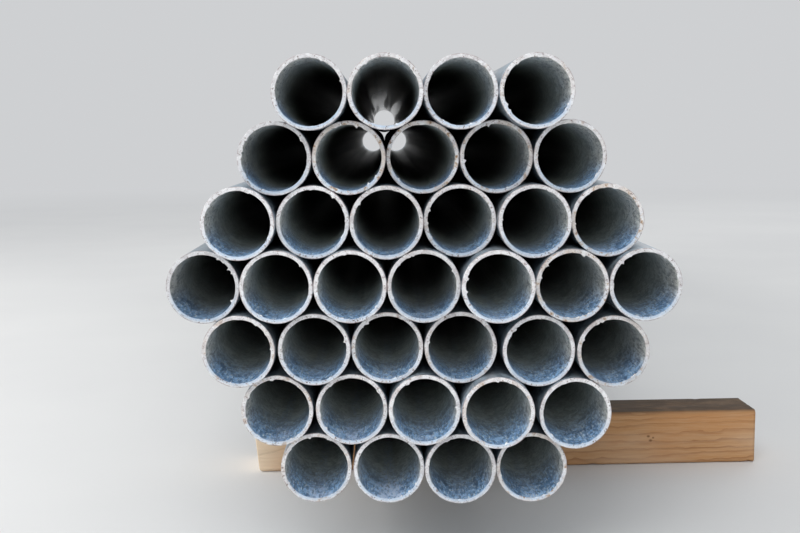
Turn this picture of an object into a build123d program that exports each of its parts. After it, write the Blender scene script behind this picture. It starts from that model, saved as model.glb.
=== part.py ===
from build123d import *
import copy
import math
import os

# Hexagonal bundle of galvanised steel tubes on two softwood bearers, held together by two steel bands.
# Sizes are in millimetres. +Z is up and the tubes run along Y, with their near ends towards -Y.
# The origin is the middle of the bundle's footprint, on the ground.

# Tubes, sawn to one length
tube_outer_diameter = 88.9
tube_wall = 5.0
tube_length = 3000.0

# How far each near end lies behind the end plane, row by row from the top and from left to right.
# A negative value sticks out towards -Y.
end_setbacks = [
    [-22, -30, -8, -18],
    [4, 6, 21, 16, 14],
    [-6, 7, -6, 12, -5, 4],
    [2, -4, -6, -7, -18, -12, -10],
    [-2, 4, 12, 6, 1, -4],
    [12, 12, 2, -16, -5],
    [22, 16, 10, 14],
]

# Loose places, where the lower rows have spread under the load
first_row_gap = 1.8
second_row_left_gap = 2.8
second_row_right_gap = 6.3
third_row_left_gap = 2.6
third_row_right_gap = 1.2

# Softwood bearers that lie across under the tubes
bearer_width = 89.0
bearer_height = 89.0
bearer_length = 830.0
bearer_edge_radius = 6.0
bearer_overhang = 86.0
bearer_inset = 440.0
bearer_cut_angle = 6.0
bearer_end_wear = 7.0
near_bearer_skew = 1.7

# Steel bands and the folded seals that lock them
band_width = 32.0
band_thickness = 0.8
band_inset = 880.0
band_under_tail = 16.0
band_upper_tail = 38.0
band_ramp = 6.0
seal_length = 46.0
seal_thickness = 1.0
seal_corner_flat = 0.8
seal_fold_gap = 3.0
notch_width = 7.0
notch_depth = 4.6
notch_spacing = 22.0
notch_taper = 75.0
lip_length = 3.6
lip_angle = 40.0

# A band runs straight past a tube where it would turn by less than this many degrees
smallest_turn = 0.05

# Clearances between pieces that rest on each other
tube_clearance = 0.2
bearer_clearance = 0.2
band_clearance = 0.2
seal_clearance = 0.1

tube_radius = tube_outer_diameter / 2
bore_radius = tube_radius - tube_wall
contact_distance = tube_outer_diameter + tube_clearance


def resting_on(left, right):
    """Centre of a tube that touches the two given ones, on the upper side of the line from left to right."""
    half_x = (right[0] - left[0]) / 2
    half_z = (right[1] - left[1]) / 2
    half_distance = math.hypot(half_x, half_z)
    rise = math.sqrt(contact_distance**2 - half_distance**2) / half_distance
    return left[0] + half_x - rise * half_z, left[1] + half_z + rise * half_x


def in_valleys(row):
    """Centres of the tubes that lie in the valleys between the tubes of a row."""
    return [resting_on(left, right) for left, right in zip(row, row[1:])]


def on_flank(support, neighbour, gap):
    """Centre of an outer tube on the flank of its support, a gap away from its neighbour in the row."""
    side = math.copysign(1, support[0] - neighbour[0])
    x = neighbour[0] + side * (contact_distance + gap)
    return x, support[1] + math.sqrt(contact_distance**2 - (x - support[0]) ** 2)


def level_row(below, count):
    """Centres of a row that the bands draw tight and level, as low as the row below lets it lie."""
    middle_x = (below[(count - 1) // 2 - 1][0] + below[(count - 1) // 2][0]) / 2
    places = [middle_x + (place - (count - 1) / 2) * contact_distance for place in range(count)]
    heights = [
        z + math.sqrt(contact_distance**2 - (place - x) ** 2)
        for place in places
        for x, z in below
        if abs(place - x) < contact_distance
    ]
    return [(place, max(heights)) for place in places]


def stacked_rows():
    """Centres of all tubes in X and Z, row by row from the top."""
    height = bearer_height + bearer_clearance + tube_radius
    first = [(0.0, height), (contact_distance + first_row_gap, height)]
    for _ in range(2):
        first.append((first[-1][0] + contact_distance, height))

    second = in_valleys(first)
    second.insert(0, on_flank(first[0], second[0], second_row_left_gap))
    second.append(on_flank(first[-1], second[-1], second_row_right_gap))

    third = in_valleys(second)
    third[0] = resting_on(second[1], third[1])
    third.insert(0, on_flank(second[0], third[0], third_row_left_gap))
    third.append(on_flank(second[-1], third[-1], third_row_right_gap))

    widest = level_row(third, len(third) + 1)
    rows = [first, second, third, widest]
    for _ in range(3):
        rows.append(in_valleys(rows[-1]))
    return rows[::-1]


rows = stacked_rows()
centres = [centre for row in rows for centre in row]
middle_x = rows[3][3][0]

# While the pieces are made, Y zero is the plane of the near ends, before their setbacks.
far_plane_y = tube_length


def along_y(section, length, middle_y):
    """Bar with the given section, drawn in X and Z, that runs along Y."""
    bar = extrude(section, amount=length / 2, both=True)
    return Pos(0, middle_y, 0) * Rot(90, 0, 0) * bar


def tube(centre, setback):
    """One tube, square-cut at both ends."""
    section = Pos(*centre) * (Circle(tube_radius) - Circle(bore_radius))
    return along_y(section, tube_length, setback + tube_length / 2)


def bearer(middle_y, skew):
    """Squared timber with eased edges, its left end sawn a little off square and worn round at its foot."""
    left = rows[-1][0][0] - tube_radius - bearer_overhang
    slant = bearer_height * math.tan(math.radians(bearer_cut_angle))
    end_grain = RectangleRounded(bearer_width, bearer_height, bearer_edge_radius)
    timber = extrude(Plane.YZ * Pos(0, bearer_height / 2) * end_grain, amount=bearer_length)
    side_view = Polygon(
        (slant, 0),
        (bearer_length, 0),
        (bearer_length, bearer_height),
        (0, bearer_height),
        align=None,
    )
    foot = side_view.vertices().sort_by_distance((slant, 0, 0))[0]
    timber &= along_y(fillet(foot, bearer_end_wear), 2 * bearer_width, 0)
    turned = Pos(middle_x, middle_y, 0) * Rot(0, 0, skew) * Pos(left - middle_x, 0, 0)
    return turned * timber


def turning_centres():
    """Centres of the tubes at which a line drawn tight round the bundle turns, anticlockwise."""
    corners = []
    for points in (sorted(centres), sorted(centres, reverse=True)):
        chain = []
        for point in points:
            while len(chain) > 1 and left_turn(chain[-2], chain[-1], point) < smallest_turn:
                chain.pop()
            chain.append(point)
        corners += chain[:-1]
    return corners


def left_turn(first, middle, last):
    """Angle in degrees by which the way from first to middle turns left on its way to last."""
    before = math.atan2(middle[1] - first[1], middle[0] - first[0])
    after = math.atan2(last[1] - middle[1], last[0] - middle[0])
    return math.degrees(math.remainder(after - before, math.tau))


def wrapped(distance):
    """Face inside a line drawn tight round all tubes, at the given distance from them."""
    return offset(Polygon(*turning_centres(), align=None), amount=tube_radius + distance)


# The bands are joined on top, over the gap between the two middle tubes of the top row.
top_left, top_right = rows[0][1], rows[0][2]
joint_x = (top_left[0] + top_right[0]) / 2
band_underside_z = (top_left[1] + top_right[1]) / 2 + tube_radius + band_clearance
band_top_z = band_underside_z + band_thickness
lap_start_x = joint_x - seal_length / 2 - band_under_tail
lap_end_x = joint_x + seal_length / 2 + band_upper_tail
lap_top_z = band_top_z + band_thickness
seal_outer_width = band_width + 2 * (seal_clearance + seal_thickness)
notch_places = (joint_x - notch_spacing / 2, joint_x + notch_spacing / 2)
notch_inner_width = notch_width - 2 * notch_depth / math.tan(math.radians(notch_taper))


def notches():
    """The four tapered nicks that the sealing tool cuts through the edges of seal and band."""
    nick = Polygon(
        (-notch_width / 2, 0),
        (notch_width / 2, 0),
        (notch_inner_width / 2, -notch_depth),
        (-notch_inner_width / 2, -notch_depth),
        align=None,
    )
    cutter = extrude(nick, amount=notch_depth, both=True)
    near_edge = Pos(0, seal_outer_width / 2, 0) * cutter
    far_edge = Rot(0, 0, 180) * near_edge
    return [Pos(x, 0, band_top_z) * edge for x in notch_places for edge in (near_edge, far_edge)]


def band(middle_y):
    """Steel band drawn tight round the bundle, with its two ends lapped on top."""
    loop = wrapped(band_clearance + band_thickness) - wrapped(band_clearance)
    second_layer = wrapped(band_clearance + 2 * band_thickness) - wrapped(band_clearance + band_thickness)
    ramp_slope = band_ramp / band_thickness
    lap_region = Polygon(
        (lap_start_x - (1 + ramp_slope) * band_thickness, band_top_z - band_thickness / ramp_slope),
        (lap_end_x, band_top_z - band_thickness / ramp_slope),
        (lap_end_x, lap_top_z + band_thickness),
        (lap_start_x + band_ramp, lap_top_z + band_thickness),
        align=None,
    )
    lap = second_layer & lap_region
    strip = along_y(loop + lap, band_width, 0)
    return Pos(0, middle_y, 0) * (strip - notches())


def seal(middle_y):
    """Folded steel sleeve round both layers of a band, nicked at its edges."""
    inner_width = band_width + 2 * seal_clearance
    inner_height = 2 * (band_thickness + seal_clearance)
    outline = Rectangle(seal_outer_width, inner_height + 2 * seal_thickness)
    section = chamfer(outline.vertices(), seal_corner_flat) - Rectangle(inner_width, inner_height)
    section -= Pos(0, inner_height / 2) * Rectangle(seal_fold_gap, 4 * seal_thickness)
    sleeve = Pos(joint_x, 0, band_top_z) * extrude(Plane.YZ * section, amount=seal_length / 2, both=True)
    sleeve -= notches()
    return Pos(0, middle_y, 0) * (sleeve + lips(band_top_z - inner_height / 2))


def lips(sheet_top_z):
    """The metal pushed down out of the four nicks, hinged on the inner edges of the lower sheet's nicks."""
    root_y = seal_outer_width / 2 - notch_depth
    reach_y = lip_length * math.cos(math.radians(lip_angle))
    drop_z = lip_length * math.sin(math.radians(lip_angle))
    bent_sheet = Polygon(
        (root_y, sheet_top_z - seal_thickness),
        (root_y + reach_y, sheet_top_z - seal_thickness - drop_z),
        (root_y + reach_y, sheet_top_z - drop_z),
        (root_y, sheet_top_z),
        align=None,
    )
    lip = extrude(Plane.YZ * bent_sheet, amount=notch_inner_width / 2, both=True)
    pair = [lip, Rot(0, 0, 180) * lip]
    return [Pos(x, 0, 0) * one for x in notch_places for one in pair]


pieces = {}
for row_number, (row, setbacks) in enumerate(zip(rows, end_setbacks), start=1):
    for place, (centre, setback) in enumerate(zip(row, setbacks), start=1):
        pieces[f"tube_{row_number}_{place}"] = tube(centre, setback)

pieces["bearer_near"] = bearer(bearer_inset + bearer_width / 2, near_bearer_skew)
pieces["bearer_far"] = bearer(far_plane_y - bearer_inset - bearer_width / 2, 0)
pieces["band_near"] = band(band_inset)
pieces["band_far"] = band(far_plane_y - band_inset)
pieces["seal_near"] = seal(band_inset)
pieces["seal_far"] = seal(far_plane_y - band_inset)

# The origin goes under the middle of the whole bundle's box.
whole = Compound(children=[copy.copy(piece) for piece in pieces.values()]).bounding_box()
to_origin = Pos(-whole.center().X, -whole.center().Y, -whole.min.Z)

os.makedirs("parts", exist_ok=True)
for name, piece in pieces.items():
    export_step(to_origin * piece, os.path.join("parts", name + ".step"))
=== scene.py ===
import math
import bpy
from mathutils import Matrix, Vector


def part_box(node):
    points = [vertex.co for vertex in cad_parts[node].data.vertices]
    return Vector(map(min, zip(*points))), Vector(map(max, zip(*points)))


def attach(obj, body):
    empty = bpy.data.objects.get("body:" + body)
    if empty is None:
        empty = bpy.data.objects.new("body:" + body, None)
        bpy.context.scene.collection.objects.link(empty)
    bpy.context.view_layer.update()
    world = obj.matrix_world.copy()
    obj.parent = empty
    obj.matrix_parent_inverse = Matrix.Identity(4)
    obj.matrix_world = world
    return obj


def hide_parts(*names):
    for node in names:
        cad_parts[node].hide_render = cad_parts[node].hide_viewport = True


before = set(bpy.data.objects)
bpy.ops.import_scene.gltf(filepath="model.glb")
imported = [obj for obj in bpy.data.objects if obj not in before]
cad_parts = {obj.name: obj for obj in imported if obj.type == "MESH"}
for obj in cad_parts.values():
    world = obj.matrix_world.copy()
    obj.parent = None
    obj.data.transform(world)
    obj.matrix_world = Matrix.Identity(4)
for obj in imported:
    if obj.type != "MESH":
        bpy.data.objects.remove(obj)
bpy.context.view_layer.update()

from types import SimpleNamespace

import bpy
import numpy as np
from mathutils import Euler, Matrix, Vector

# Tubes, a hair thinner than their solids
TUBE_RADIUS = 0.04440
TUBE_WALL = 0.0050
TUBE_AROUND = 288
TUBE_SEED = 900
WELD_HEIGHT = 0.0005
WELD_WIDTH = 0.0022

# Cut ends: rounding of their edges, depths of the saw's marks, and heights of the burrs
EDGE = 0.0004
SAW_DEPTH = 0.00018
NICK_DEPTH = 0.0012
CHIP_DEPTH = 0.0014
LARGE_BURR = (0.0030, 0.0042)
SMALL_BURR = 0.0026
TORN_BURR = 0.0009

# How far from the ends the rings on the plain walls lie
WALL_RINGS = (0.060, 0.012, 0.0030)

# How far from the plane of an end its worn edges reach, and over how far from the far end the painted
# far-end glow and the smoothness of a bore fade out
RIM_DEPTH = 0.0016
GLOW_FADE_AT_FAR_END = 0.05

# Bearers: their cut, the radius and the distance from the middle of their corners, and their wear
NEAR_BEARER_SKEW = math.radians(1.7)
BEARER_SLANT = math.tan(math.radians(6.0))
BEARER_CORNER = 0.006
BEARER_AROUND = 240
BEARER_CAP_RINGS = 26
CORNER_DISTANCE = 0.056
END_WEAR = 0.007
RIDGES = 60
GRAIN_DEPTH = 0.00022
BRUISES = 26
CHECKS = 5
CHECK_WIDTH = 0.0007
CHECK_DEPTH = 0.0024
CHECK_FADE = 0.004
SAWN_END_DEPTH = 0.0005
SPLIT_WIDTH = 0.0009
SPLIT_DEPTH = 0.0008
# Over this length from the left end the newly sawn wood is lightened further with painted sunlight
FRESH_SUNLIT_LENGTH = 0.075

# Rings of vertices along a bearer: close together over this length at the left end, then evenly spaced
CLOSE_RINGS = 0.07
CLOSE_STEP = 0.0014
EVEN_RINGS = 150
KNOT_STEP = 0.0012

# Knots in the bearers' front faces: place along the bearer, height over its middle line, and size
NEAR_KNOTS = [(0.650, 0.003, 0.0024), (0.6535, -0.004, 0.0026), (0.658, 0.0005, 0.0018)]
FAR_KNOTS = [(0.21, 0.012, 0.004), (0.62, -0.015, 0.003)]

# The photograph's camera: its place from the middle tube and the near ends, its turns in degrees, its lens
CAMERA_FROM_MIDDLE = (-0.0469, -1.3184, 0.1835)
CAMERA_DOWN = 6.917
CAMERA_RIGHT = 0.791
CAMERA_ROLL = -0.427
CAMERA_LENS = 49.53

FLOOR_HALF_WIDTH = 40.0

# Colours of the zinc on the outer walls; the sky colours are painted sky reflection near the ends
OUTER_DARK = (0.193, 0.225, 0.257, 1)
OUTER_LIGHT = (0.35, 0.392, 0.434, 1)
# Lighter, bluer zinc near the ends of the outer walls: painted sky reflection
SKY_REFLECTION_DARK = (0.25, 0.33, 0.40, 1)
SKY_REFLECTION_LIGHT = (0.50, 0.60, 0.68, 1)
OUTER_STREAK = (0.49, 0.52, 0.55, 1)
OUTER_SCRATCH = (0.62, 0.64, 0.66, 1)
SOIL = (0.17, 0.165, 0.155, 1)
CHALK = (0.60, 0.61, 0.60, 1)
BROWN_STAIN = (0.20, 0.11, 0.06, 1)

# Colours of the zinc in the bores: painted light at the mouth, painted sky reflection low down, painted
# shade deeper in, and a painted glow of far-end light in some bores
# Bright mouths of the bores: painted light
LIT_GREY_MOUTH_DARK = (0.62, 0.615, 0.57, 1)
LIT_GREY_MOUTH_LIGHT = (0.96, 0.955, 0.90, 1)
# The blue colours here are painted sky reflection on the lower part of the bores
SKY_BLUE_MOUTH_DARK = (0.13, 0.26, 0.47, 1)
SKY_BLUE_MOUTH_LIGHT = (0.44, 0.69, 1.0, 1)
GREY_FLECK = (0.96, 0.96, 0.93, 1)
SKY_BLUE_FLECK = (0.84, 0.94, 1.0, 1)
DARK_GREY_FLECK = (0.25, 0.27, 0.27, 1)
DARK_SKY_BLUE_FLECK = (0.06, 0.13, 0.26, 1)
BORE_DARK = (0.58, 0.61, 0.58, 1)
BORE_LIGHT = (0.88, 0.91, 0.88, 1)
# Darker zinc deep in the bores: painted shade
SHADED_DEEP_DARK = (0.22, 0.225, 0.205, 1)
SHADED_DEEP_LIGHT = (0.40, 0.40, 0.36, 1)
# Painted glow of far-end light deep in some bores
GLOW_DARK = (0.26, 0.265, 0.26, 1)
GLOW_LIGHT = (0.86, 0.82, 0.76, 1)
BORE_SCRATCH = (0.82, 0.84, 0.86, 1)
# Pale blue along the lowest line of some bores: painted sky reflection
BOTTOM_SKY_BLUE = (0.66, 0.78, 1.0, 1)

# Colours of the cut ends
CUT_LIGHT = (0.83, 0.835, 0.85, 1)
CUT_DULL = (0.59, 0.575, 0.59, 1)
# Blue low on the inside of the cut ends: painted sky reflection
CUT_SKY_BLUE = (0.52, 0.65, 0.80, 1)
RUST = (0.52, 0.35, 0.18, 1)
RUST_CORE = (0.24, 0.12, 0.055, 1)
EDGE_DIRT = (0.31, 0.24, 0.235, 1)
SPECK = (0.15, 0.085, 0.065, 1)
BURR = (0.93, 0.93, 0.93, 1)

# Colours of the bearers
EARLY_WOOD = (0.53, 0.285, 0.125, 1)
LATE_WOOD = (0.32, 0.135, 0.050, 1)
PALE_WOOD = (0.61, 0.40, 0.25, 1)
WARM_WOOD = (0.58, 0.27, 0.10, 1)
PALE_FIBRE = (0.66, 0.46, 0.29, 1)
END_GRAIN = (0.66, 0.50, 0.33, 1)
# Newly sawn wood, made paler still as painted sunlight
FRESH_SUNLIT_WOOD = (0.97, 0.80, 0.60, 1)
# Dark top of the bearers: grime and painted shade
GRIME_AND_SHADE = (0.050, 0.034, 0.022, 1)
KNOT = (0.17, 0.075, 0.03, 1)
CRACK = (0.13, 0.07, 0.035, 1)

# Colours of the bands and seals
BLACKENED_DARK = (0.020, 0.018, 0.017, 1)
BLACKENED_LIGHT = (0.045, 0.038, 0.034, 1)
BAND_RUST = (0.13, 0.055, 0.025, 1)
BARE_BAND = (0.20, 0.17, 0.15, 1)
BARE_SEAL = (0.30, 0.28, 0.26, 1)

# Colours of the studio
SURROUNDINGS = (0.62, 0.63, 0.645, 1)
SOFT_LIGHT = (0.95, 0.975, 1.0, 1)
FLOOR_DARK = (0.70, 0.70, 0.70, 1)
FLOOR_LIGHT = (0.74, 0.74, 0.735, 1)

# Tubes whose cut ends have rusted, and how strongly
RUSTED_ENDS = {
    "tube_1_2": 0.35,
    "tube_1_4": 0.25,
    "tube_2_2": 0.85,
    "tube_2_3": 1.0,
    "tube_2_4": 0.6,
    "tube_2_5": 0.3,
    "tube_3_4": 0.35,
    "tube_3_6": 0.8,
    "tube_4_6": 0.9,
    "tube_5_1": 0.4,
    "tube_5_3": 0.4,
    "tube_5_4": 0.35,
    "tube_5_6": 0.6,
    "tube_6_1": 0.45,
    "tube_6_4": 0.5,
    "tube_7_1": 0.45,
    "tube_7_4": 0.7,
}

# Where large flakes of burr stick out into the near ends, in degrees anticlockwise from the right
LARGE_BURRS = {
    "tube_1_1": [19],
    "tube_1_4": [205],
    "tube_2_1": [32],
    "tube_2_2": [74, 308],
    "tube_2_4": [105, 186],
    "tube_3_1": [69],
    "tube_3_2": [50],
    "tube_3_4": [159],
    "tube_4_1": [62, 35, 333],
    "tube_4_5": [164, 190],
    "tube_4_6": [140, 164, 69],
    "tube_4_7": [138, 55],
    "tube_5_2": [14],
    "tube_5_3": [126],
    "tube_5_5": [137, 153],
    "tube_5_6": [157, 112],
    "tube_6_1": [99, 155],
    "tube_6_2": [131, 218],
    "tube_6_3": [119],
    "tube_7_1": [100],
}

# Tubes whose bore is painted pale blue with sky reflection along its lowest line at the mouth, and how
# strongly
SKY_BOTTOM_BORES = {
    "tube_3_6": 0.6,
    "tube_4_4": 0.65,
    "tube_4_5": 0.65,
    "tube_5_2": 0.5,
    "tube_5_3": 0.6,
    "tube_6_1": 0.75,
    "tube_6_2": 0.75,
    "tube_6_3": 0.6,
    "tube_7_1": 0.75,
    "tube_7_2": 1.0,
    "tube_7_3": 0.5,
    "tube_7_4": 0.45,
}

# Tubes whose bores carry a painted glow of far-end light and are smoother towards their far end, and how
# strongly
GLOWING_BORES = {
    "tube_1_1": 0.35,
    "tube_1_2": 1.0,
    "tube_1_3": 0.35,
    "tube_2_2": 0.45,
    "tube_2_3": 0.45,
}

tube_names = sorted(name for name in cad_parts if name.startswith("tube_"))
near_ends = [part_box(name)[0].y for name in tube_names]
end_plane_y = sum(near_ends) / len(near_ends)


# Node helpers

def node(tree, kind, inputs=None, **settings):
    """New node with its settings made and its inputs set to values or linked to sockets."""
    made = tree.nodes.new("ShaderNode" + kind)
    for name, value in settings.items():
        setattr(made, name, value)
    for name, value in (inputs or {}).items():
        if isinstance(value, bpy.types.NodeSocket):
            tree.links.new(value, made.inputs[name])
        else:
            made.inputs[name].default_value = value
    return made


def calc(tree, operation, first, second, clamp=False):
    """Result of one operation on two values."""
    return node(tree, "Math", {0: first, 1: second}, operation=operation, use_clamp=clamp).outputs[0]


def plus(tree, first, second):
    """Sum of two values."""
    return calc(tree, "ADD", first, second)


def minus(tree, first, second, clamp=False):
    """Difference of two values, kept from 0 to 1 where clamp is set."""
    return calc(tree, "SUBTRACT", first, second, clamp)


def times(tree, first, second):
    """Product of two values."""
    return calc(tree, "MULTIPLY", first, second)


def spread(tree, value, low, high, start=0.0, end=1.0):
    """Value carried smoothly from the range low..high to start..end."""
    inputs = {"Value": value, "From Min": low, "From Max": high, "To Min": start, "To Max": end}
    return node(tree, "MapRange", inputs, interpolation_type="SMOOTHSTEP").outputs["Result"]


def mix(tree, factor, first, second):
    """Colour between first and second."""
    return node(tree, "Mix", {0: factor, 6: first, 7: second}, data_type="RGBA").outputs[2]


def stretched(tree, place, scale):
    """Coordinates scaled along each axis."""
    return node(tree, "Mapping", {"Vector": place, "Scale": scale}).outputs[0]


def noise(tree, place, scale, detail, roughness):
    """Noise value from 0 to 1. The scale is one number, or one for each axis."""
    if isinstance(scale, tuple):
        place = stretched(tree, place, scale)
        scale = 1.0
    inputs = {"Vector": place, "Scale": scale, "Detail": detail, "Roughness": roughness}
    return node(tree, "TexNoise", inputs).outputs[0]


def attribute(tree, name):
    """Value stored on the mesh."""
    return node(tree, "Attribute", attribute_name=name).outputs["Fac"]


def new_material(name):
    """Material with an empty Principled shader, its tree and its object coordinates."""
    material = bpy.data.materials.new(name)
    material.use_nodes = True
    tree = material.node_tree
    tree.nodes.clear()
    shader = node(tree, "BsdfPrincipled")
    node(tree, "OutputMaterial", {"Surface": shader.outputs[0]})
    place = node(tree, "TexCoord").outputs["Object"]
    return material, tree, shader, place


def finish_shader(tree, shader, colour, roughness, metallic, height, distance):
    """Links the finished values to the shader."""
    bump = node(tree, "Bump", {"Height": height, "Strength": 0.6, "Distance": distance})
    tree.links.new(colour, shader.inputs["Base Color"])
    tree.links.new(roughness, shader.inputs["Roughness"])
    if isinstance(metallic, float):
        shader.inputs["Metallic"].default_value = metallic
    else:
        tree.links.new(metallic, shader.inputs["Metallic"])
    tree.links.new(bump.outputs[0], shader.inputs["Normal"])


# Materials

def zinc_patterns(tree, place):
    """The values stored on the tubes and the patterns that several parts of the zinc share."""
    stored = ("depth", "wall", "down", "rust", "scuff", "flake", "shade", "clean")
    zinc = SimpleNamespace(**{name: attribute(tree, name) for name in stored})

    cells = node(tree, "TexVoronoi", {"Vector": stretched(tree, place, (1, 0.6, 1)), "Scale": 330.0})
    spangle = node(tree, "SeparateColor", {"Color": cells.outputs["Color"]}).outputs[0]
    zinc.grit = noise(tree, place, 800.0, 4.0, 0.65)
    zinc.cloud = noise(tree, place, 52.0, 5.0, 0.65)
    mottle = plus(tree, times(tree, spangle, 0.35), times(tree, zinc.cloud, 0.9))
    mottle = plus(tree, mottle, times(tree, zinc.grit, 0.45))
    zinc.mottle = spread(tree, mottle, 0.62, 1.08)

    zinc.streak = noise(tree, place, (70, 1.6, 70), 4.0, 0.6)
    zinc.scratch = spread(tree, noise(tree, place, (260, 1.5, 260), 2.0, 0.5), 0.63, 0.72)
    zinc.chalk = spread(tree, noise(tree, place, (14, 3, 14), 6.0, 0.7), 0.60, 0.74, 0.0, 0.7)
    zinc.finger = spread(tree, noise(tree, place, (42, 0.4, 42), 1.5, 0.5), 0.36, 0.62)
    # Painted sky reflection: how far the lower part of a bore and its rim turn blue
    zinc.blued = spread(tree, zinc.down, 0.0, 0.72)
    return zinc


def outer_wall_colour(tree, place, zinc):
    """Dull streaked zinc, lighter and bluer near the ends with painted sky reflection, with scratches,
    soiling, chalk and a few brown stains.
    """
    plain = mix(tree, zinc.mottle, OUTER_DARK, OUTER_LIGHT)
    # Near the ends the walls are painted lighter and bluer: painted sky reflection
    sky = mix(tree, zinc.mottle, SKY_REFLECTION_DARK, SKY_REFLECTION_LIGHT)
    outer = mix(tree, spread(tree, zinc.depth, 0.0, 0.20, 0.7, 0.0), plain, sky)
    outer = mix(tree, spread(tree, zinc.streak, 0.46, 0.70, 0.0, 0.8), outer, OUTER_STREAK)
    outer = mix(tree, times(tree, zinc.scratch, 0.5), outer, OUTER_SCRATCH)
    soiled = spread(tree, noise(tree, place, (9, 2, 9), 5.0, 0.65), 0.50, 0.68, 0.0, 0.55)
    outer = mix(tree, soiled, outer, SOIL)
    outer = mix(tree, zinc.chalk, outer, CHALK)
    stained = spread(tree, noise(tree, place, (40, 7, 40), 6.0, 0.75), 0.66, 0.76, 0.0, 0.6)
    return mix(tree, stained, outer, BROWN_STAIN)


def bore_colour(tree, place, zinc):
    """Flecked mouth, painted bright with light; blue at the bottom with painted sky reflection and grey
    above; then pale and then darker zinc deeper in, which is painted shade; and in some bores a painted
    glow of far-end light.
    """
    # The mouth is painted bright: painted light
    grey_mouth = mix(tree, zinc.mottle, LIT_GREY_MOUTH_DARK, LIT_GREY_MOUTH_LIGHT)
    sky_blue_mouth = mix(tree, zinc.mottle, SKY_BLUE_MOUTH_DARK, SKY_BLUE_MOUTH_LIGHT)
    mouth = mix(tree, zinc.blued, grey_mouth, sky_blue_mouth)
    fleck = spread(tree, noise(tree, place, (430, 85, 430), 3.0, 0.7), 0.55, 0.63, 0.0, 0.9)
    mouth = mix(tree, fleck, mouth, mix(tree, zinc.blued, GREY_FLECK, SKY_BLUE_FLECK))
    dark_fleck = spread(tree, noise(tree, place, (260, 55, 260), 4.0, 0.7), 0.41, 0.48, 0.7, 0.0)
    mouth = mix(tree, dark_fleck, mouth, mix(tree, zinc.blued, DARK_GREY_FLECK, DARK_SKY_BLUE_FLECK))

    pale = mix(tree, zinc.mottle, BORE_DARK, BORE_LIGHT)
    deep = mix(tree, zinc.streak, SHADED_DEEP_DARK, SHADED_DEEP_LIGHT)
    # A painted glow of far-end light deep in some bores
    bright = mix(tree, zinc.finger, GLOW_DARK, GLOW_LIGHT)
    # From the mouth inwards the bore turns pale and then dark: painted shade
    ragged = plus(tree, zinc.depth, times(tree, minus(tree, zinc.cloud, 0.5), 0.05))
    inner = mix(tree, spread(tree, ragged, 0.02, 0.15), mouth, pale)
    inner = mix(tree, spread(tree, ragged, 0.10, 0.45), inner, deep)
    inner = mix(tree, zinc.clean, inner, bright)
    inner = mix(tree, times(tree, zinc.scratch, 0.18), inner, BORE_SCRATCH)
    # The bottom of some bores is painted pale blue: painted sky reflection
    return mix(tree, bottom_sky_patch(tree, place, zinc), inner, BOTTOM_SKY_BLUE)


def bottom_sky_patch(tree, place, zinc):
    """How strongly the bottom of a bore is painted pale blue with sky reflection: a tongue from its mouth,
    and a faint trail behind it.
    """
    tongue = minus(tree, zinc.down, times(tree, zinc.depth, 1.6))
    tongue = plus(tree, tongue, spread(tree, zinc.cloud, 0.3, 0.7, -0.09, 0.09))
    tongue = minus(tree, tongue, spread(tree, zinc.scuff, 0.0, 1.0, 0.3, 0.0))
    trail = minus(tree, zinc.down, times(tree, zinc.depth, 0.12))
    faint_trail = spread(tree, trail, 0.95, 0.99, 0.0, 0.45)
    sky_patch = calc(tree, "MAXIMUM", spread(tree, tongue, 0.80, 0.93), faint_trail)
    patch_streaks = noise(tree, place, (330, 90, 330), 4.0, 0.7)
    sky_patch = times(tree, sky_patch, spread(tree, patch_streaks, 0.44, 0.55, 0.1, 1.0))
    return times(tree, times(tree, sky_patch, zinc.scuff), spread(tree, zinc.depth, 0.15, 0.60, 1.0, 0.3))


def cut_end_colour(tree, place, zinc):
    """Pale sawn steel, bluer low on the inside with painted sky reflection, with rust, dirty edges, dark
    specks and bright burr.
    """
    blotch = spread(tree, noise(tree, place, 120.0, 6.0, 0.75), 0.40, 0.66)
    cut = mix(tree, blotch, CUT_LIGHT, CUT_DULL)
    # Painted sky reflection low on the inside of the rim
    sky_blue_rim = times(tree, zinc.blued, spread(tree, zinc.wall, 0.20, 0.85, 0.20, 0.9))
    cut = mix(tree, sky_blue_rim, cut, CUT_SKY_BLUE)

    rust_bloom = spread(tree, noise(tree, place, 42.0, 4.0, 0.6), 0.42, 0.66, 0.0, 0.55)
    rust_noise = noise(tree, place, 110.0, 4.0, 0.6)
    rust_spots = spread(tree, rust_noise, 0.54, 0.64)
    rust_here = times(tree, calc(tree, "MAXIMUM", rust_bloom, rust_spots), zinc.rust)
    rust_cores = times(tree, spread(tree, rust_noise, 0.61, 0.66), zinc.rust)
    cut = mix(tree, times(tree, rust_here, 0.8), cut, RUST)
    cut = mix(tree, times(tree, rust_cores, 0.8), cut, RUST_CORE)

    outer_edge = spread(tree, zinc.wall, 0.05, 0.24, 1.0, 0.0)
    inner_edge = spread(tree, zinc.wall, 0.86, 0.95, 0.0, 0.4)
    edge_dirt = spread(tree, noise(tree, place, 95.0, 5.0, 0.7), 0.40, 0.58, 0.0, 0.8)
    cut = mix(tree, times(tree, plus(tree, outer_edge, inner_edge), edge_dirt), cut, EDGE_DIRT)
    speck = spread(tree, noise(tree, place, 330.0, 5.0, 0.7), 0.575, 0.64)
    cut = mix(tree, times(tree, speck, 0.85), cut, SPECK)
    return mix(tree, times(tree, zinc.flake, 0.8), cut, BURR)


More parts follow.
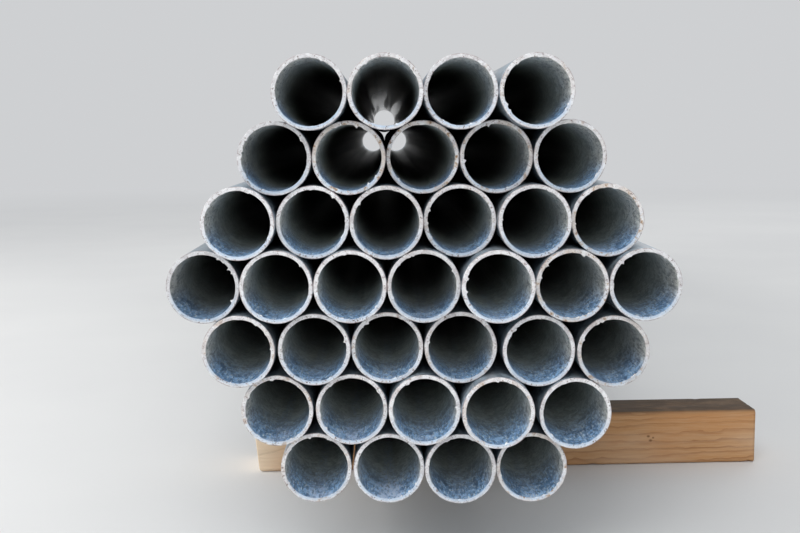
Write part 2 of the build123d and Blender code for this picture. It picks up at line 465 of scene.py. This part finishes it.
def zinc_material():
    """Galvanised steel: spangled zinc outside, blue and grey zinc in the bores with painted light, sky
    reflection and shade, and pale saw-cut ends.
    """
    material, tree, shader, place = new_material("galvanised steel")
    zinc = zinc_patterns(tree, place)
    cut = cut_end_colour(tree, place, zinc)
    on_inner = spread(tree, zinc.wall, 0.955, 0.995)
    on_outer = spread(tree, zinc.wall, 0.005, 0.045, 1.0, 0.0)
    colour = mix(tree, on_outer, cut, outer_wall_colour(tree, place, zinc))
    colour = mix(tree, on_inner, colour, bore_colour(tree, place, zinc))
    worn_edge = times(tree, calc(tree, "LESS_THAN", zinc.depth, RIM_DEPTH), 0.55)
    colour = mix(tree, worn_edge, colour, cut)
    brightness = spread(tree, zinc.shade, 0.0, 1.0, 0.90, 1.08)
    tone = node(tree, "HueSaturation", {"Color": colour, "Value": brightness})

    # The surface has no texture deep in a bore or where the painted far-end glow lies, and the bore is
    # smoother there.
    shallow = minus(tree, spread(tree, zinc.depth, 0.12, 0.45, 1.0, 0.0), zinc.clean, clamp=True)
    textured = calc(tree, "MAXIMUM", shallow, on_outer)
    roughness = plus(tree, spread(tree, zinc.mottle, 0.0, 1.0, -0.10, 0.10), times(tree, zinc.chalk, 0.2))
    roughness = plus(tree, times(tree, roughness, textured), 0.44)
    smoother = times(tree, zinc.clean, spread(tree, zinc.finger, 0.0, 1.0, 0.04, 0.25))
    roughness = minus(tree, roughness, times(tree, on_inner, smoother))
    metallic = plus(tree, times(tree, on_outer, 0.55), times(tree, on_inner, 0.13))
    metallic = plus(tree, metallic, 0.12)
    height = plus(tree, times(tree, zinc.grit, 0.5), times(tree, zinc.cloud, 0.8))
    height = times(tree, height, textured)
    finish_shader(tree, shader, tone.outputs[0], roughness, metallic, height, 0.0006)
    return material


def growth_rings(tree, place):
    """Wavy growth rings round a line far outside the bearer, as a plain-sawn timber shows them."""
    wander = noise(tree, place, (4, 13, 13), 4.0, 0.55)
    spacing = noise(tree, place, (1.3, 34, 34), 2.0, 0.5)
    shift = node(tree, "CombineXYZ", {
        "X": 0.0,
        "Y": times(tree, wander, 0.040),
        "Z": plus(tree, times(tree, wander, 0.060), times(tree, spacing, 0.035)),
    }).outputs[0]
    bent = node(tree, "VectorMath", {0: place, 1: shift}, operation="ADD").outputs[0]
    from_pith = node(tree, "Mapping", {"Vector": bent, "Location": (0, 0.90, 0.09)}).outputs[0]
    inputs = {"Vector": from_pith, "Scale": 30.0, "Distortion": 2.6, "Detail": 3.0}
    settings = {"wave_type": "RINGS", "rings_direction": "X", "wave_profile": "SAW"}
    return node(tree, "TexWave", inputs, **settings).outputs[1]


def wood_material():
    """Sawn softwood: wavy growth rings, fine fibres, knots, a newly sawn left end lightened further with
    painted sunlight, and a top darkened with dirt and painted shade.
    """
    material, tree, shader, place = new_material("sawn softwood")
    knot = attribute(tree, "knot")
    crack = attribute(tree, "crack")
    end_grain = attribute(tree, "end_grain")
    top = attribute(tree, "top")
    fresh_and_sunlit = attribute(tree, "fresh_and_sunlit")

    rings = growth_rings(tree, place)
    fibre = noise(tree, place, (16, 620, 620), 4.0, 0.6)
    patch = noise(tree, place, (3, 14, 14), 3.0, 0.5)
    warm = noise(tree, place, (5, 9, 9), 2.0, 0.5)
    grime_and_shade_patches = noise(tree, place, (9, 20, 20), 5.0, 0.7)
    late = times(tree, spread(tree, rings, 0.45, 1.0), spread(tree, patch, 0.25, 0.60, 0.35, 1.0))
    # The grain fades at the left end, which is newly sawn and painted sunlit
    late = times(tree, late, minus(tree, 1.0, times(tree, fresh_and_sunlit, 0.7)))

    wood = mix(tree, late, EARLY_WOOD, LATE_WOOD)
    wood = mix(tree, spread(tree, patch, 0.42, 0.66, 0.0, 0.8), wood, PALE_WOOD)
    wood = mix(tree, spread(tree, warm, 0.48, 0.66, 0.0, 0.5), wood, WARM_WOOD)
    wood = mix(tree, spread(tree, fibre, 0.35, 0.75, 0.0, 0.35), wood, PALE_FIBRE)
    wood = mix(tree, spread(tree, end_grain, 0.2, 1.0, 0.0, 0.35), wood, END_GRAIN)
    # The left end is lightened: newly sawn wood and painted sunlight
    wood = mix(tree, times(tree, fresh_and_sunlit, 0.9), wood, FRESH_SUNLIT_WOOD)
    # The top face is darkened: grime and painted shade
    wood = mix(tree, times(tree, top, spread(tree, grime_and_shade_patches, 0.20, 0.55, 0.7, 0.95)), wood, GRIME_AND_SHADE)
    wood = mix(tree, spread(tree, knot, 0.25, 0.9, 0.0, 0.8), wood, KNOT)
    wood = mix(tree, times(tree, crack, 0.8), wood, CRACK)

    roughness = spread(tree, fibre, 0.2, 0.8, 0.62, 0.86)
    height = plus(tree, times(tree, rings, 0.5), times(tree, fibre, 0.8))
    shader.inputs["Specular IOR Level"].default_value = 0.25
    finish_shader(tree, shader, wood, roughness, 0.0, height, 0.0007)
    return material


def band_material(name, bare, bare_from):
    """Blackened steel strip, lightly rusted in patches and worn to bare metal where it is scratched."""
    material, tree, shader, place = new_material(name)
    scratches = noise(tree, place, (30, 900, 30), 4.0, 0.6)
    patches = noise(tree, place, 38.0, 5.0, 0.7)
    grit = noise(tree, place, 1400.0, 3.0, 0.6)
    colour = mix(tree, spread(tree, grit, 0.3, 0.7), BLACKENED_DARK, BLACKENED_LIGHT)
    colour = mix(tree, spread(tree, patches, 0.52, 0.70), colour, BAND_RUST)
    colour = mix(tree, spread(tree, scratches, bare_from, bare_from + 0.12), colour, bare)
    roughness = spread(tree, patches, 0.3, 0.8, 0.34, 0.75)
    finish_shader(tree, shader, colour, roughness, 0.7, grit, 0.0002)
    return material


def shown_rays(tree):
    """1 for rays that show the surroundings, straight or in metal, and 0 for those that light a surface."""
    path = node(tree, "LightPath").outputs
    shown = calc(tree, "MAXIMUM", path["Is Camera Ray"], path["Is Transmission Ray"])
    return calc(tree, "MAXIMUM", shown, path["Is Glossy Ray"])


def floor_material():
    """Pale matt studio floor that runs into the pale surroundings far from the bundle."""
    material, tree, shader, place = new_material("pale floor")
    drift = noise(tree, place, 1.4, 4.0, 0.5)
    grain = noise(tree, place, 160.0, 3.0, 0.5)
    colour = mix(tree, spread(tree, drift, 0.2, 0.8), FLOOR_DARK, FLOOR_LIGHT)
    finish_shader(tree, shader, colour, spread(tree, grain, 0.2, 0.8, 0.7, 0.9), 0.0, grain, 0.0002)
    distance = node(tree, "VectorMath", {0: place}, operation="LENGTH").outputs["Value"]
    away = times(tree, spread(tree, distance, 2.5, 9.0), shown_rays(tree))
    haze = node(tree, "Emission", {"Color": SURROUNDINGS, "Strength": 1.0})
    both = node(tree, "MixShader", {0: away, 1: shader.outputs[0], 2: haze.outputs[0]})
    output = next(made for made in tree.nodes if made.type == "OUTPUT_MATERIAL")
    tree.links.new(both.outputs[0], output.inputs["Surface"])
    return material


# Meshes

def mesh_piece(name, vertices, faces, values, material):
    """Smooth-shaded object on the root body, with named values stored at its vertices."""
    mesh = bpy.data.meshes.new(name)
    mesh.from_pydata(vertices.tolist(), [], faces)
    for key, amounts in values.items():
        mesh.attributes.new(key, "FLOAT", "POINT").data.foreach_set("value", amounts.astype(np.float32))
    mesh.shade_smooth()
    mesh.materials.append(material)
    piece = bpy.data.objects.new(name, mesh)
    bpy.context.scene.collection.objects.link(piece)
    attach(piece, "root")
    return piece


def ring_faces(rings, around, closed):
    """Quads between rings of vertices that follow each other, also from last to first where closed."""
    index = np.arange(rings * around).reshape(rings, around)
    following = np.roll(index, -1, axis=0)
    corners = [index, np.roll(index, -1, axis=1), np.roll(following, -1, axis=1), following]
    quads = np.stack(corners, axis=-1)
    if not closed:
        quads = quads[:-1]
    return quads.reshape(-1, 4).tolist()


def even_turns(count):
    """Angles at even steps round a circle."""
    return np.linspace(0, math.tau, count, endpoint=False)


def short_turn(angle):
    """The same turn between minus and plus half a circle."""
    return np.angle(np.exp(1j * angle))


def circle_noise(random, waves):
    """Smooth random line round a tube, from -1 to 1, with up to that many waves."""
    angle = even_turns(TUBE_AROUND)
    line = np.zeros(TUBE_AROUND)
    for wave in range(1, waves + 1):
        line += random.normal() * np.cos(wave * angle + random.uniform(0, math.tau)) / math.sqrt(waves)
    return np.clip(line, -2, 2) / 2


def burrs(random, large):
    """Height round a tube of the ragged metal that the saw leaves, with large flakes at some angles."""
    angle = even_turns(TUBE_AROUND)
    height = np.zeros(TUBE_AROUND)
    flakes = [(turn, random.uniform(*LARGE_BURR), random.uniform(0.04, 0.075)) for turn in large]
    for _ in range(random.integers(6, 12)):
        small = SMALL_BURR * random.uniform(0.35, 1) ** 2.2
        flakes.append((random.uniform(0, math.tau), small, random.uniform(0.02, 0.08)))
    for turn, most, half_width in flakes:
        lean = random.choice([0.5, 2.0])
        away = short_turn(angle - turn)
        away = np.where(away > 0, away * lean, -away / lean)
        height = np.maximum(height, most * np.clip(1 - away / half_width, 0, 1))
    return height * (0.65 + 0.35 * random.uniform(-1, 1, TUBE_AROUND))


def end_profile(random, large):
    """Rings round one cut end, from the outer wall over the rim to the inner wall.

    Each has its distance from the end plane and its radius for every angle, its place through the wall, and
    how far it belongs to a flake of burr. Large flakes of burr are at the given angles.
    """
    outer, inner = TUBE_RADIUS, TUBE_RADIUS - TUBE_WALL
    rag = burrs(random, large)
    nick = np.clip(circle_noise(random, 70) - 0.45, 0, 1) * NICK_DEPTH
    chip = np.clip(circle_noise(random, 50) - 0.5, 0, 1) * CHIP_DEPTH
    saw = SAW_DEPTH * (1 + circle_noise(random, 60))
    flat = np.zeros(TUBE_AROUND)
    torn = np.clip(rag / TORN_BURR, 0, 1)
    far_ring, middle_ring, close_ring = WALL_RINGS
    rings = [
        (flat + far_ring, flat + outer, 0.0, flat),
        (flat + middle_ring, flat + outer, 0.0, flat),
        (flat + close_ring, flat + outer, 0.0, flat),
        (EDGE + 0.0006 + nick, outer - 0.2 * nick, 0.01, flat),
        (0.5 * EDGE + nick, outer - 0.5 * EDGE - nick, 0.06, flat),
        (saw, outer - 2.2 * EDGE - nick, 0.14, flat),
    ]
    for through in (0.35, 0.6, 0.8):
        rough = saw + SAW_DEPTH * 0.7 * circle_noise(random, 90)
        rings.append((np.clip(rough, 0, 1), flat + outer - through * TUBE_WALL, through, flat))
    rings += [
        (saw + 0.3 * chip, inner + 1.6 * EDGE - 0.4 * rag + chip, 0.90, 0.5 * torn),
        (0.6 * EDGE + 0.2 * rag + chip, inner + 0.4 * EDGE - rag + 0.5 * chip, 0.945, torn),
        (EDGE + 0.0004 + 0.5 * rag + chip, inner - 0.9 * rag, 0.95 + 0.04 * (1 - torn), torn),
        (flat + close_ring, inner - 0.12 * rag, 1.0, flat),
        (flat + middle_ring, flat + inner, 1.0, flat),
        (flat + far_ring, flat + inner, 1.0, flat),
    ]
    return rings


def worn_tube(name, material, number):
    """One tube with ragged saw-cut ends and the low weld line inside, in place of its plain solid."""
    random = np.random.default_rng(TUBE_SEED + number)
    low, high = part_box(name)
    centre_x, centre_z = (low.x + high.x) / 2, (low.z + high.z) / 2
    length = high.y - low.y
    middle = np.full(TUBE_AROUND, length / 2)
    near = end_profile(random, np.radians(LARGE_BURRS.get(name, [])))
    far = end_profile(random, random.uniform(0, math.tau, random.integers(0, 4)))
    flat = np.zeros(TUBE_AROUND)
    outer_middle = (middle, flat + TUBE_RADIUS, 0.0, flat)
    inner_middle = (middle, flat + TUBE_RADIUS - TUBE_WALL, 1.0, flat)
    rings = [(ring[0], *ring) for ring in [outer_middle, *near, inner_middle]]
    rings += [(length - ring[0], *ring) for ring in far[::-1]]

    angle = even_turns(TUBE_AROUND)
    from_weld = short_turn(angle - random.uniform(0, math.tau)) * TUBE_RADIUS
    weld = WELD_HEIGHT * np.exp(-((from_weld / WELD_WIDTH) ** 2))
    spots, depth, wall, down, flake, clean = [], [], [], [], [], []
    for along, from_end, radius, through, torn in rings:
        radius = radius - weld * (np.mean(through) > 0.95)
        ring = [centre_x + radius * np.cos(angle), low.y + along, centre_z + radius * np.sin(angle)]
        spots.append(np.stack(ring, axis=-1))
        depth.append(from_end)
        wall.append(flat + through)
        down.append(-np.sin(angle))
        flake.append(torn)
        # Strength of the painted far-end glow and smoothness: rising to the middle, fading at the far end
        clean.append(np.clip(2 * along / length, 0, 1) * np.clip((length - along) / GLOW_FADE_AT_FAR_END, 0, 1))
    everywhere = np.ones(len(rings) * TUBE_AROUND)
    values = {
        "depth": np.concatenate(depth),
        "wall": np.concatenate(wall),
        "down": np.concatenate(down),
        "flake": np.concatenate(flake),
        "rust": everywhere * RUSTED_ENDS.get(name, random.uniform(0.0, 0.2)),
        # How strongly the bottom of the bore is painted with sky reflection
        "scuff": everywhere * SKY_BOTTOM_BORES.get(name, random.uniform(0.0, 0.3)),
        "shade": everywhere * random.uniform(0, 1),
        "clean": np.concatenate(clean) * GLOWING_BORES.get(name, 0.0),
    }
    faces = ring_faces(len(rings), TUBE_AROUND, closed=True)
    piece = mesh_piece("worn_" + name, np.concatenate(spots), faces, values, material)
    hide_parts(name)


def rounded_square(side):
    """Points at even steps round a square with rounded corners, from the middle of its +Y side on."""
    straight = side - 2 * BEARER_CORNER
    quarter = straight + BEARER_CORNER * math.pi / 2
    points = []
    for step in range(BEARER_AROUND):
        turn, way = divmod(step * 4 * quarter / BEARER_AROUND + straight / 2, quarter)
        if way < straight:
            spot = Vector((side / 2, way - straight / 2))
        else:
            bend = (way - straight) / BEARER_CORNER
            corner_x = straight / 2 + BEARER_CORNER * math.cos(bend)
            corner_y = straight / 2 + BEARER_CORNER * math.sin(bend)
            spot = Vector((corner_x, corner_y))
        points.append(Matrix.Rotation(turn * math.pi / 2, 2) @ spot)
    return np.array(points)


def bearer_rings(length, side, knots):
    """Rings of vertices from the middle of one end over the long faces to the middle of the other.

    Returned are each vertex's place along the bearer, across it and over its middle line, and 1 where it
    lies on an end. The rings are closer together at the left end and round the knots.
    """
    section = rounded_square(side)
    at_left = np.arange(0, CLOSE_RINGS, CLOSE_STEP)
    further = np.linspace(CLOSE_RINGS, length, EVEN_RINGS)
    round_knots = [np.arange(at - 2.4 * size, at + 2.4 * size, KNOT_STEP) for at, _, size in knots]
    stations = np.unique(np.round(np.concatenate([at_left, further, *round_knots]), 4))
    steps = np.linspace(0, 1, BEARER_CAP_RINGS + 1)[1:-1]
    shrink = np.concatenate([[0.004], steps, np.ones(len(stations)), steps[::-1], [0.004]])
    along = np.concatenate([np.zeros(len(steps) + 1), stations, np.full(len(steps) + 1, length)])
    across = shrink[:, None] * section[None, :, 0]
    height = shrink[:, None] * section[None, :, 1]
    along = np.repeat(along[:, None], BEARER_AROUND, axis=1)
    on_end = np.repeat((shrink < 1)[:, None], BEARER_AROUND, axis=1).astype(float)
    return along, across, height, on_end


def grain_and_bruises(random, along, length):
    """How far raised grain and bruised edges draw the long faces in."""
    turn = even_turns(BEARER_AROUND)[None, :]
    ridge = np.zeros_like(along)
    for _ in range(RIDGES):
        wave = random.integers(8, 60)
        pace = random.uniform(-9, 9)
        ridge += np.cos(wave * turn + pace * along + random.uniform(0, math.tau)) / RIDGES**0.5
    bruise = np.zeros_like(along)
    corner_turns = math.pi / 4 + math.pi / 2 * np.arange(4)
    for _ in range(BRUISES):
        at = random.uniform(0, length)
        corner = random.choice(corner_turns) + random.normal() * 0.03
        reach = random.uniform(0.004, 0.013)
        from_corner = short_turn(turn - corner) * CORNER_DISTANCE / BEARER_CORNER
        away = np.hypot((along - at) / reach, from_corner)
        bruise += random.uniform(0.0004, 0.0018) * np.exp(-away**2)
    return GRAIN_DEPTH * np.clip(1 + ridge, 0, 3) + bruise


def end_checks(random, across, height):
    """1 along the checks, which run from near the middle of an end towards its edges, and 0 beside them."""
    check = np.zeros_like(across)
    turn = np.arctan2(height, across)
    from_middle = np.hypot(across, height)
    for _ in range(CHECKS):
        heading = random.uniform(0, math.tau)
        wobble = 0.12 * np.sin(140 * from_middle + random.uniform(0, math.tau))
        off_line = short_turn(turn - heading - wobble) * from_middle
        start = random.uniform(0.001, 0.012)
        end = random.uniform(0.022, 0.041)
        begun = np.clip((from_middle - start) / CHECK_FADE, 0, 1)
        reach = begun * np.clip((end - from_middle) / CHECK_FADE, 0, 1)
        check = np.maximum(check, np.exp(-((off_line / CHECK_WIDTH) ** 2)) * reach)
    return check


def front_split(along, across, height, side):
    """1 along a split that slants over the front face near its left end, and 0 beside it."""
    front = (across < 0) & (np.abs(across) > 0.9 * side / 2)
    split_line = -0.017 + 0.24 * along + 0.0006 * np.sin(180 * along)
    split = np.exp(-(((height - split_line) / SPLIT_WIDTH) ** 2))
    return split * front * (along > 0.002) * (along < 0.046)


def knot_strength(along, across, height, knots):
    """1 in the middle of each knot in the front half, falling to 0 round it."""
    strength = np.zeros_like(across)
    for at, up, size in knots:
        away = np.hypot((along - at) / 1.4, height - up)
        strength = np.maximum(strength, np.exp(-((away / size) ** 2)) * (across < 0))
    return strength


def rough_bearer(name, skew, material, seed, knots):
    """Bearer with raised grain, bruised edges and checked ends, in place of its plain solid."""
    random = np.random.default_rng(seed)
    low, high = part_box(name)
    side = high.z - low.z
    length = ((high.x - low.x) - side * math.sin(skew)) / math.cos(skew)
    along, across, height, on_end = bearer_rings(length, side, knots)

    inward = grain_and_bruises(random, along, length) * (1 - on_end)
    scale = 1 - inward / np.hypot(across, height)
    across, height = across * scale, height * scale

    # The checks open in the ends, which the saw left uneven.
    crack = end_checks(random, across, height) * on_end
    uneven = SAWN_END_DEPTH * (1 + np.sin(900 * height + 3 * np.sin(200 * across))) * on_end
    along = along - np.sign(along - length / 2) * (CHECK_DEPTH * crack + uneven)

    split = front_split(along, across, height, side)
    across = across + SPLIT_DEPTH * split
    crack = np.maximum(crack, 0.25 * split)
    knot = knot_strength(along, across, height, knots)

    # The left end is sawn off square and worn round at its foot.
    above_base = np.clip(height + side / 2, 0, END_WEAR)
    worn = END_WEAR - np.sqrt(END_WEAR**2 - (END_WEAR - above_base) ** 2)
    leaning = BEARER_SLANT * (side / 2 - height) + worn
    along = leaning + along * (length - leaning) / length

    local_x = along - length / 2
    middle = (low + high) / 2
    spots = np.stack([
        middle.x + local_x * math.cos(skew) - across * math.sin(skew),
        middle.y + local_x * math.sin(skew) + across * math.cos(skew),
        middle.z + height,
    ], axis=-1).reshape(-1, 3)
    # The top faces, which the material darkens with grime and painted shade
    top = np.clip((height / np.maximum(np.abs(across), 1e-6) - 0.85) / 0.3, 0, 1) * (height > 0)
    # The left end, which the material lightens as newly sawn wood with painted sunlight
    fresh_and_sunlit = np.clip(1 - along / FRESH_SUNLIT_LENGTH, 0, 1)
    marked = {"knot": knot, "crack": crack, "end_grain": on_end, "top": top * (1 - on_end), "fresh_and_sunlit": fresh_and_sunlit}
    values = {key: amounts.ravel() for key, amounts in marked.items()}
    faces = ring_faces(len(along), BEARER_AROUND, closed=False)
    last = (len(along) - 1) * BEARER_AROUND
    faces.append(list(range(BEARER_AROUND))[::-1])
    faces.append(list(range(last, last + BEARER_AROUND)))
    piece = mesh_piece("rough_" + name, spots, faces, values, material)
    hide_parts(name)


zinc_paint = zinc_material()
wood_paint = wood_material()
floor_paint = floor_material()
band_steel = band_material("blackened band", BARE_BAND, bare_from=0.66)
seal_steel = band_material("seal steel", BARE_SEAL, bare_from=0.52)

for number, name in enumerate(tube_names):
    worn_tube(name, zinc_paint, number)

rough_bearer("bearer_near", NEAR_BEARER_SKEW, wood_paint, seed=31, knots=NEAR_KNOTS)
rough_bearer("bearer_far", 0.0, wood_paint, seed=32, knots=FAR_KNOTS)

for end in ("near", "far"):
    for kind, steel in (("band_", band_steel), ("seal_", seal_steel)):
        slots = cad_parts[kind + end].data.materials
        slots.clear()
        slots.append(steel)


# Studio

def lamp(name, place, target, width, watts, colour):
    """Square soft lamp that faces its target."""
    light = bpy.data.lights.new(name, "AREA")
    light.shape = "SQUARE"
    light.size = width
    light.energy = watts
    light.color = colour
    holder = bpy.data.objects.new(name, light)
    holder.location = place
    holder.rotation_euler = (Vector(target) - Vector(place)).to_track_quat("-Z", "Y").to_euler()
    bpy.context.scene.collection.objects.link(holder)


def studio_world():
    """Even surroundings that light softly and show as pale grey."""
    world = bpy.data.worlds.new("studio")
    bpy.context.scene.world = world
    world.use_nodes = True
    tree = world.node_tree
    tree.nodes.clear()
    soft = node(tree, "Background", {"Color": SOFT_LIGHT, "Strength": 0.68})
    pale = node(tree, "Background", {"Color": SURROUNDINGS, "Strength": 1.0})
    both = node(tree, "MixShader", {0: shown_rays(tree), 1: soft.outputs[0], 2: pale.outputs[0]})
    node(tree, "OutputWorld", {"Surface": both.outputs[0]})


def studio_floor():
    """Wide floor that the bundle stands on."""
    mesh = bpy.data.meshes.new("floor")
    half = FLOOR_HALF_WIDTH
    corners = [(-half, -half, 0), (half, -half, 0), (half, half, 0), (-half, half, 0)]
    mesh.from_pydata(corners, [], [(0, 1, 2, 3)])
    mesh.materials.append(floor_paint)
    floor = bpy.data.objects.new("floor", mesh)
    bpy.context.scene.collection.objects.link(floor)


def photo_camera():
    """Camera at the photograph's place, found from the middle tube and the plane of the near ends."""
    low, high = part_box("tube_4_4")
    right, behind, up = CAMERA_FROM_MIDDLE
    data = bpy.data.cameras.new("camera")
    data.sensor_width = 36.0
    data.lens = CAMERA_LENS
    data.clip_start = 0.05
    data.clip_end = 200.0
    camera = bpy.data.objects.new("camera", data)
    camera.location = ((low.x + high.x) / 2 + right, end_plane_y + behind, (low.z + high.z) / 2 + up)
    aim = Euler((math.radians(90 - CAMERA_DOWN), 0, math.radians(-CAMERA_RIGHT))).to_matrix()
    roll = Matrix.Rotation(math.radians(CAMERA_ROLL), 3, "Z")
    camera.rotation_euler = (aim @ roll).to_euler()
    bpy.context.scene.collection.objects.link(camera)
    bpy.context.scene.camera = camera


studio_world()
studio_floor()
lamp("key", (-1.2, -4.7, 4.6), (-0.1, -1.5, 0.35), width=3.6, watts=128.0, colour=(1.0, 1.0, 1.0))
lamp("left", (-4.6, -1.6, 2.6), (-0.3, -0.6, 0.35), width=2.4, watts=125.0, colour=(1.0, 0.98, 0.95))
lamp("back", (3.4, 5.2, 4.2), (0.0, 1.0, 0.3), width=3.6, watts=55.0, colour=(1.0, 1.0, 1.0))
photo_camera()
bpy.context.scene.view_settings.view_transform = "Standard"
